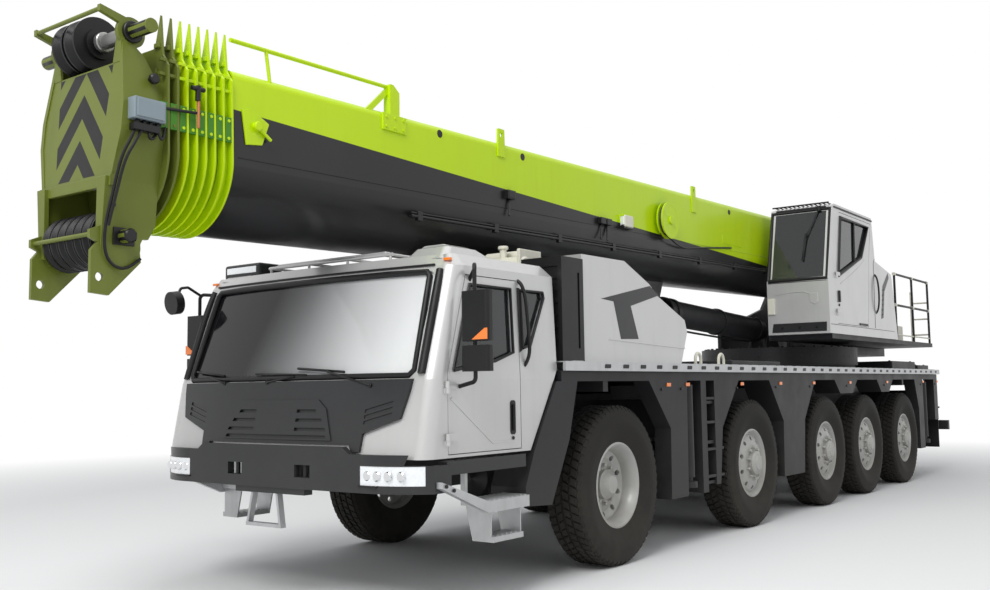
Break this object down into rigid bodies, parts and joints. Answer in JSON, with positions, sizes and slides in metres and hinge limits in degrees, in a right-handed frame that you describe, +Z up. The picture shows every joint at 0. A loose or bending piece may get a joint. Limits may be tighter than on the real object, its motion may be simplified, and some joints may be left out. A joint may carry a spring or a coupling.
{
  "type": "mobile crane",
  "caption": "Five-axle all-terrain mobile crane with telescopic boom, carrier cab, operator's cab and outriggers, parked in transport order.",
  "frame": {"origin": "on the ground under the middle of the crane's box, in its plane of symmetry", "axes": "+Z up, -Y the way it drives, +X its left side"},
  "size_m": [3.48, 16.075, 3.985],
  "materials": {
    "dark_frame": "satin dark grey paint",
    "deck_alloy": "brushed tread plate",
    "silver_paint": "metallic silver paint",
    "tinted_glass": "dark tinted glass",
    "black_plastic": "grained black plastic",
    "lamp_lens": "clear moulded lens",
    "tyre_rubber": "worn black rubber",
    "chrome_rod": "hard chrome",
    "charcoal_paint": "satin charcoal paint",
    "lime_paint": "gloss lime paint",
    "olive_paint": "olive-tinted lime paint",
    "black_steel": "oiled black steel"
  },
  "bodies": {
    "carrier": {"chassis_frame": "dark_frame", "axle_beams": "dark_frame", "slewing_ring": "dark_frame", "deck": "deck_alloy", "skirts": "dark_frame", "engine_block": "dark_frame", "cab_shell": "silver_paint", "cab_glass": "tinted_glass", "front_panel": "black_plastic", "bumper": "dark_frame", "lamps": "lamp_lens", "steps": "deck_alloy", "cab_interior": "black_plastic", "side_hoods": "silver_paint", "intake_towers": "black_plastic"},
    "door_left": {"door_left": "silver_paint", "mirror_left": "black_plastic"},
    "door_right": {"door_right": "silver_paint", "mirror_right": "black_plastic"},
    "wheel_1_left": {"wheel_1_left": "tyre_rubber"},
    "knuckle_1_left": {"knuckle_1_left": "dark_frame"},
    "wheel_1_right": {"wheel_1_right": "tyre_rubber"},
    "knuckle_1_right": {"knuckle_1_right": "dark_frame"},
    "wheel_2_left": {"wheel_2_left": "tyre_rubber"},
    "knuckle_2_left": {"knuckle_2_left": "dark_frame"},
    "wheel_2_right": {"wheel_2_right": "tyre_rubber"},
    "knuckle_2_right": {"knuckle_2_right": "dark_frame"},
    "wheel_3_left": {"wheel_3_left": "tyre_rubber"},
    "wheel_3_right": {"wheel_3_right": "tyre_rubber"},
    "wheel_4_left": {"wheel_4_left": "tyre_rubber"},
    "knuckle_4_left": {"knuckle_4_left": "dark_frame"},
    "wheel_4_right": {"wheel_4_right": "tyre_rubber"},
    "knuckle_4_right": {"knuckle_4_right": "dark_frame"},
    "wheel_5_left": {"wheel_5_left": "tyre_rubber"},
    "knuckle_5_left": {"knuckle_5_left": "dark_frame"},
    "wheel_5_right": {"wheel_5_right": "tyre_rubber"},
    "knuckle_5_right": {"knuckle_5_right": "dark_frame"},
    "outrigger_beam_front_left": {"outrigger_beam_front_left": "dark_frame"},
    "outrigger_jack_front_left": {"outrigger_jack_front_left": "chrome_rod"},
    "outrigger_beam_front_right": {"outrigger_beam_front_right": "dark_frame"},
    "outrigger_jack_front_right": {"outrigger_jack_front_right": "chrome_rod"},
    "outrigger_beam_rear_left": {"outrigger_beam_rear_left": "dark_frame"},
    "outrigger_jack_rear_left": {"outrigger_jack_rear_left": "chrome_rod"},
    "outrigger_beam_rear_right": {"outrigger_beam_rear_right": "dark_frame"},
    "outrigger_jack_rear_right": {"outrigger_jack_rear_right": "chrome_rod"},
    "superstructure": {"turntable_frame": "charcoal_paint", "operator_cab": "silver_paint", "operator_glass": "tinted_glass"},
    "operator_door": {"operator_door": "silver_paint"},
    "winch_drum": {"winch_drum": "charcoal_paint"},
    "boom_base": {"boom_base": "lime_paint"},
    "boom_section_1": {"boom_section_1": "lime_paint"},
    "boom_section_2": {"boom_section_2": "lime_paint"},
    "boom_section_3": {"boom_section_3": "lime_paint"},
    "boom_section_4": {"boom_section_4": "lime_paint", "boom_head": "olive_paint"},
    "upper_sheaves": {"upper_sheaves": "black_steel"},
    "lower_sheaves": {"lower_sheaves": "black_steel"},
    "lift_barrel": {"lift_barrel": "charcoal_paint"},
    "lift_rod": {"lift_rod": "chrome_rod"}
  },
  "joints": [
    {"name": "door_left_hinge", "type": "hinge", "parent": "carrier", "child": "door_left", "pos_m": [1.448, -5.9975, 1.6], "axis": [0, 0, -1], "range_deg": [0, 70]},
    {"name": "door_right_hinge", "type": "hinge", "parent": "carrier", "child": "door_right", "pos_m": [-1.448, -5.9975, 1.6], "axis": [0, 0, 1], "range_deg": [0, 70]},
    {"name": "steer_1_left", "type": "hinge", "parent": "carrier", "child": "knuckle_1_left", "pos_m": [1, -3.6745, 0.684], "axis": [0, 0, 1], "range_deg": [-33, 33]},
    {"name": "spin_1_left", "type": "hinge", "parent": "knuckle_1_left", "child": "wheel_1_left", "pos_m": [1.2875, -3.6745, 0.684], "axis": [1, 0, 0], "continuous": true},
    {"name": "steer_1_right", "type": "hinge", "parent": "carrier", "child": "knuckle_1_right", "pos_m": [-1, -3.6745, 0.684], "axis": [0, 0, 1], "range_deg": [-33, 33]},
    {"name": "spin_1_right", "type": "hinge", "parent": "knuckle_1_right", "child": "wheel_1_right", "pos_m": [-1.2875, -3.6745, 0.684], "axis": [1, 0, 0], "continuous": true},
    {"name": "steer_2_left", "type": "hinge", "parent": "carrier", "child": "knuckle_2_left", "pos_m": [1, -0.7735, 0.684], "axis": [0, 0, 1], "range_deg": [-24.75, 24.75]},
    {"name": "spin_2_left", "type": "hinge", "parent": "knuckle_2_left", "child": "wheel_2_left", "pos_m": [1.2875, -0.7735, 0.684], "axis": [1, 0, 0], "continuous": true},
    {"name": "steer_2_right", "type": "hinge", "parent": "carrier", "child": "knuckle_2_right", "pos_m": [-1, -0.7735, 0.684], "axis": [0, 0, 1], "range_deg": [-24.75, 24.75]},
    {"name": "spin_2_right", "type": "hinge", "parent": "knuckle_2_right", "child": "wheel_2_right", "pos_m": [-1.2875, -0.7735, 0.684], "axis": [1, 0, 0], "continuous": true},
    {"name": "spin_3_left", "type": "hinge", "parent": "carrier", "child": "wheel_3_left", "pos_m": [1.2875, 1.5835, 0.684], "axis": [1, 0, 0], "continuous": true},
    {"name": "spin_3_right", "type": "hinge", "parent": "carrier", "child": "wheel_3_right", "pos_m": [-1.2875, 1.5835, 0.684], "axis": [1, 0, 0], "continuous": true},
    {"name": "steer_4_left", "type": "hinge", "parent": "carrier", "child": "knuckle_4_left", "pos_m": [1, 3.2465, 0.684], "axis": [0, 0, 1], "range_deg": [-11.55, 11.55]},
    {"name": "spin_4_left", "type": "hinge", "parent": "knuckle_4_left", "child": "wheel_4_left", "pos_m": [1.2875, 3.2465, 0.684], "axis": [1, 0, 0], "continuous": true},
    {"name": "steer_4_right", "type": "hinge", "parent": "carrier", "child": "knuckle_4_right", "pos_m": [-1, 3.2465, 0.684], "axis": [0, 0, 1], "range_deg": [-11.55, 11.55]},
    {"name": "spin_4_right", "type": "hinge", "parent": "knuckle_4_right", "child": "wheel_4_right", "pos_m": [-1.2875, 3.2465, 0.684], "axis": [1, 0, 0], "continuous": true},
    {"name": "steer_5_left", "type": "hinge", "parent": "carrier", "child": "knuckle_5_left", "pos_m": [1, 5.1045, 0.684], "axis": [0, 0, 1], "range_deg": [-23.1, 23.1]},
    {"name": "spin_5_left", "type": "hinge", "parent": "knuckle_5_left", "child": "wheel_5_left", "pos_m": [1.2875, 5.1045, 0.684], "axis": [1, 0, 0], "continuous": true},
    {"name": "steer_5_right", "type": "hinge", "parent": "carrier", "child": "knuckle_5_right", "pos_m": [-1, 5.1045, 0.684], "axis": [0, 0, 1], "range_deg": [-23.1, 23.1]},
    {"name": "spin_5_right", "type": "hinge", "parent": "knuckle_5_right", "child": "wheel_5_right", "pos_m": [-1.2875, 5.1045, 0.684], "axis": [1, 0, 0], "continuous": true},
    {"name": "outrigger_beam_front_left_slide", "type": "slide", "parent": "carrier", "child": "outrigger_beam_front_left", "axis": [1, 0, 0], "range_m": [0, 1.9]},
    {"name": "outrigger_jack_front_left_slide", "type": "slide", "parent": "outrigger_beam_front_left", "child": "outrigger_jack_front_left", "axis": [0, 0, -1], "range_m": [0, 0.56]},
    {"name": "outrigger_beam_front_right_slide", "type": "slide", "parent": "carrier", "child": "outrigger_beam_front_right", "axis": [-1, 0, 0], "range_m": [0, 1.9]},
    {"name": "outrigger_jack_front_right_slide", "type": "slide", "parent": "outrigger_beam_front_right", "child": "outrigger_jack_front_right", "axis": [0, 0, -1], "range_m": [0, 0.56]},
    {"name": "outrigger_beam_rear_left_slide", "type": "slide", "parent": "carrier", "child": "outrigger_beam_rear_left", "axis": [1, 0, 0], "range_m": [0, 1.9]},
    {"name": "outrigger_jack_rear_left_slide", "type": "slide", "parent": "outrigger_beam_rear_left", "child": "outrigger_jack_rear_left", "axis": [0, 0, -1], "range_m": [0, 0.56]},
    {"name": "outrigger_beam_rear_right_slide", "type": "slide", "parent": "carrier", "child": "outrigger_beam_rear_right", "axis": [-1, 0, 0], "range_m": [0, 1.9]},
    {"name": "outrigger_jack_rear_right_slide", "type": "slide", "parent": "outrigger_beam_rear_right", "child": "outrigger_jack_rear_right", "axis": [0, 0, -1], "range_m": [0, 0.56]},
    {"name": "slewing", "type": "hinge", "parent": "carrier", "child": "superstructure", "pos_m": [0, 3.7325, 2], "axis": [0, 0, 1], "continuous": true},
    {"name": "operator_door_hinge", "type": "hinge", "parent": "superstructure", "child": "operator_door", "pos_m": [1.463, 2.1925, 2.8], "axis": [0, 0, -1], "range_deg": [0, 75]},
    {"name": "winch_turn", "type": "hinge", "parent": "superstructure", "child": "winch_drum", "pos_m": [0, 6.6125, 2.68], "axis": [1, 0, 0], "continuous": true},
    {"name": "luffing", "type": "hinge", "parent": "superstructure", "child": "boom_base", "pos_m": [0, 5.3325, 3.33], "axis": [-1, 0, 0], "range_deg": [0, 80]},
    {"name": "telescope_1", "type": "slide", "parent": "boom_base", "child": "boom_section_1", "axis": [0, -0.9998, -0.0209], "range_m": [0, 9.2]},
    {"name": "telescope_2", "type": "slide", "parent": "boom_section_1", "child": "boom_section_2", "axis": [0, -0.9998, -0.0209], "range_m": [0, 9.2]},
    {"name": "telescope_3", "type": "slide", "parent": "boom_section_2", "child": "boom_section_3", "axis": [0, -0.9998, -0.0209], "range_m": [0, 9.2]},
    {"name": "telescope_4", "type": "slide", "parent": "boom_section_3", "child": "boom_section_4", "axis": [0, -0.9998, -0.0209], "range_m": [0, 9.2]},
    {"name": "upper_sheaves_turn", "type": "hinge", "parent": "boom_section_4", "child": "upper_sheaves", "pos_m": [0, -7.8075, 3.8], "axis": [1, 0, 0], "continuous": true},
    {"name": "lower_sheaves_turn", "type": "hinge", "parent": "boom_section_4", "child": "lower_sheaves", "pos_m": [0, -7.8175, 2.5], "axis": [1, 0, 0], "continuous": true},
    {"name": "lift_foot", "type": "hinge", "parent": "superstructure", "child": "lift_barrel", "pos_m": [0, 3.0825, 2.33], "axis": [-1, 0, 0], "range_deg": [0, 90.98]},
    {"name": "lift_stroke", "type": "slide", "parent": "lift_barrel", "child": "lift_rod", "axis": [0, -0.9992, 0.0411], "range_m": [0, 3.02099]}
  ],
  "couplings": [
    {"joint": "steer_1_right", "follows": "steer_1_left", "ratio": 1},
    {"joint": "steer_2_left", "follows": "steer_1_left", "ratio": 0.75},
    {"joint": "steer_2_right", "follows": "steer_1_left", "ratio": 0.75},
    {"joint": "steer_4_left", "follows": "steer_1_left", "ratio": -0.35},
    {"joint": "steer_4_right", "follows": "steer_1_left", "ratio": -0.35},
    {"joint": "steer_5_left", "follows": "steer_1_left", "ratio": -0.7},
    {"joint": "steer_5_right", "follows": "steer_1_left", "ratio": -0.7},
    {"joint": "telescope_2", "follows": "telescope_1", "ratio": 1},
    {"joint": "telescope_3", "follows": "telescope_1", "ratio": 1},
    {"joint": "telescope_4", "follows": "telescope_1", "ratio": 1},
    {"joint": "lift_foot", "follows": "luffing", "ratio": 1.1373},
    {"joint": "lift_stroke", "follows": "luffing", "m_per_rad": 2.1636}
  ]
}
